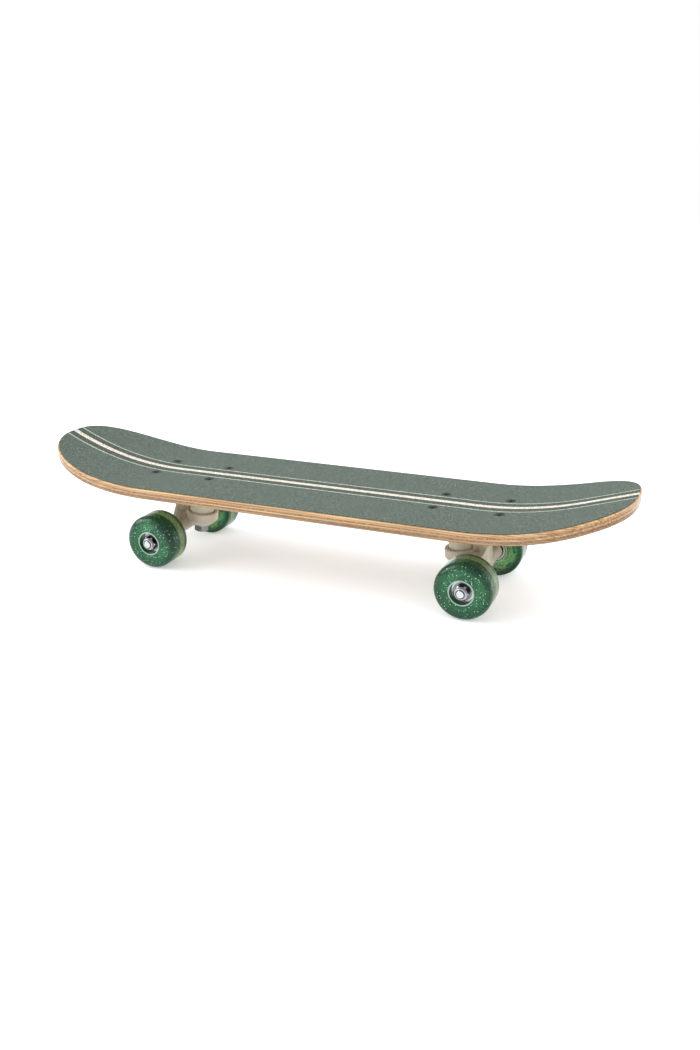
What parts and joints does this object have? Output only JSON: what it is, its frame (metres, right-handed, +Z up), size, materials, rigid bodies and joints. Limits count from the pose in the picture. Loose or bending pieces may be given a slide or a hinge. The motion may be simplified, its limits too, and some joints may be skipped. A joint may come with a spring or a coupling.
{
  "type": "skateboard",
  "caption": "Small kicktail skateboard: pressed maple deck with striped grip, cast steering trucks on bushings, translucent wheels on ball bearings.",
  "frame": {"origin": "on the floor, under the middle of the deck's plan", "axes": "+X towards the nose, +Y towards the rider's left, +Z up"},
  "size_m": [0.603, 0.148, 0.1168],
  "materials": {
    "maple": "thin clear lacquer",
    "grip": "gritty grip sheet, printed lengthwise stripes",
    "black_steel": "black oxide",
    "zinc_steel": "zinc plated",
    "truck_paint": "satin beige paint",
    "cup_plastic": "matte",
    "bushing_urethane": "smooth cast urethane",
    "bright_steel": "polished",
    "wheel_urethane": "translucent cast urethane with glitter",
    "cage_plastic": "moulded nylon"
  },
  "bodies": {
    "board": {"ply_1": "maple", "ply_2": "maple", "ply_3": "maple", "ply_4": "maple", "ply_5": "maple", "ply_6": "maple", "ply_7": "maple", "grip_sheet": "grip", "front_truck_bolts": "black_steel", "front_lock_nuts": "zinc_steel", "front_baseplate": "truck_paint", "front_pivot_cup": "cup_plastic", "front_kingpin": "zinc_steel", "front_kingpin_nut": "zinc_steel", "front_board_side_washer": "zinc_steel", "front_road_side_washer": "zinc_steel", "front_board_side_bushing": "bushing_urethane", "front_road_side_bushing": "bushing_urethane", "rear_truck_bolts": "black_steel", "rear_lock_nuts": "zinc_steel", "rear_baseplate": "truck_paint", "rear_pivot_cup": "cup_plastic", "rear_kingpin": "zinc_steel", "rear_kingpin_nut": "zinc_steel", "rear_board_side_washer": "zinc_steel", "rear_road_side_washer": "zinc_steel", "rear_board_side_bushing": "bushing_urethane", "rear_road_side_bushing": "bushing_urethane"},
    "front_hanger_set": {"front_hanger": "truck_paint", "front_axle": "zinc_steel", "front_axle_nuts": "bright_steel", "front_axle_washers": "zinc_steel", "front_bearing_inner_rings": "bright_steel"},
    "front_left_wheel_set": {"front_left_wheel": "wheel_urethane", "front_left_bearing_outer_rings": "bright_steel", "front_left_bearing_shields": "bright_steel"},
    "front_left_ball_set": {"front_left_bearing_balls": "bright_steel", "front_left_ball_cages": "cage_plastic"},
    "front_right_wheel_set": {"front_right_wheel": "wheel_urethane", "front_right_bearing_outer_rings": "bright_steel", "front_right_bearing_shields": "bright_steel"},
    "front_right_ball_set": {"front_right_bearing_balls": "bright_steel", "front_right_ball_cages": "cage_plastic"},
    "rear_hanger_set": {"rear_hanger": "truck_paint", "rear_axle": "zinc_steel", "rear_axle_nuts": "bright_steel", "rear_axle_washers": "zinc_steel", "rear_bearing_inner_rings": "bright_steel"},
    "rear_left_wheel_set": {"rear_left_wheel": "wheel_urethane", "rear_left_bearing_outer_rings": "bright_steel", "rear_left_bearing_shields": "bright_steel"},
    "rear_left_ball_set": {"rear_left_bearing_balls": "bright_steel", "rear_left_ball_cages": "cage_plastic"},
    "rear_right_wheel_set": {"rear_right_wheel": "wheel_urethane", "rear_right_bearing_outer_rings": "bright_steel", "rear_right_bearing_shields": "bright_steel"},
    "rear_right_ball_set": {"rear_right_bearing_balls": "bright_steel", "rear_right_ball_cages": "cage_plastic"}
  },
  "joints": [
    {"name": "front_steer", "type": "hinge", "parent": "board", "child": "front_hanger_set", "pos_m": [0.172, 0, 0.061], "axis": [0.7727, 0, 0.6347], "range_deg": [-12, 12], "stiffness_Nm_per_rad": 40, "deforming": ["front_board_side_bushing", "front_road_side_bushing"]},
    {"name": "front_left_wheel_spin", "type": "hinge", "parent": "front_hanger_set", "child": "front_left_wheel_set", "pos_m": [0.1642, 0.056, 0.0275], "axis": [0, 1, 0], "continuous": true},
    {"name": "front_left_ball_roll", "type": "hinge", "parent": "front_hanger_set", "child": "front_left_ball_set", "pos_m": [0.1642, 0.056, 0.0275], "axis": [0, 1, 0], "continuous": true},
    {"name": "front_right_wheel_spin", "type": "hinge", "parent": "front_hanger_set", "child": "front_right_wheel_set", "pos_m": [0.1642, -0.056, 0.0275], "axis": [0, 1, 0], "continuous": true},
    {"name": "front_right_ball_roll", "type": "hinge", "parent": "front_hanger_set", "child": "front_right_ball_set", "pos_m": [0.1642, -0.056, 0.0275], "axis": [0, 1, 0], "continuous": true},
    {"name": "rear_steer", "type": "hinge", "parent": "board", "child": "rear_hanger_set", "pos_m": [-0.172, 0, 0.061], "axis": [-0.7727, 0, 0.6347], "range_deg": [-12, 12], "stiffness_Nm_per_rad": 40, "deforming": ["rear_board_side_bushing", "rear_road_side_bushing"]},
    {"name": "rear_left_wheel_spin", "type": "hinge", "parent": "rear_hanger_set", "child": "rear_left_wheel_set", "pos_m": [-0.1642, 0.056, 0.0275], "axis": [0, 1, 0], "continuous": true},
    {"name": "rear_left_ball_roll", "type": "hinge", "parent": "rear_hanger_set", "child": "rear_left_ball_set", "pos_m": [-0.1642, 0.056, 0.0275], "axis": [0, 1, 0], "continuous": true},
    {"name": "rear_right_wheel_spin", "type": "hinge", "parent": "rear_hanger_set", "child": "rear_right_wheel_set", "pos_m": [-0.1642, -0.056, 0.0275], "axis": [0, 1, 0], "continuous": true},
    {"name": "rear_right_ball_roll", "type": "hinge", "parent": "rear_hanger_set", "child": "rear_right_ball_set", "pos_m": [-0.1642, -0.056, 0.0275], "axis": [0, 1, 0], "continuous": true}
  ],
  "couplings": [
    {"joint": "front_left_ball_roll", "follows": "front_left_wheel_spin", "ratio": 0.6323},
    {"joint": "front_right_ball_roll", "follows": "front_right_wheel_spin", "ratio": 0.6323},
    {"joint": "rear_left_ball_roll", "follows": "rear_left_wheel_spin", "ratio": 0.6323},
    {"joint": "rear_right_ball_roll", "follows": "rear_right_wheel_spin", "ratio": 0.6323}
  ]
}
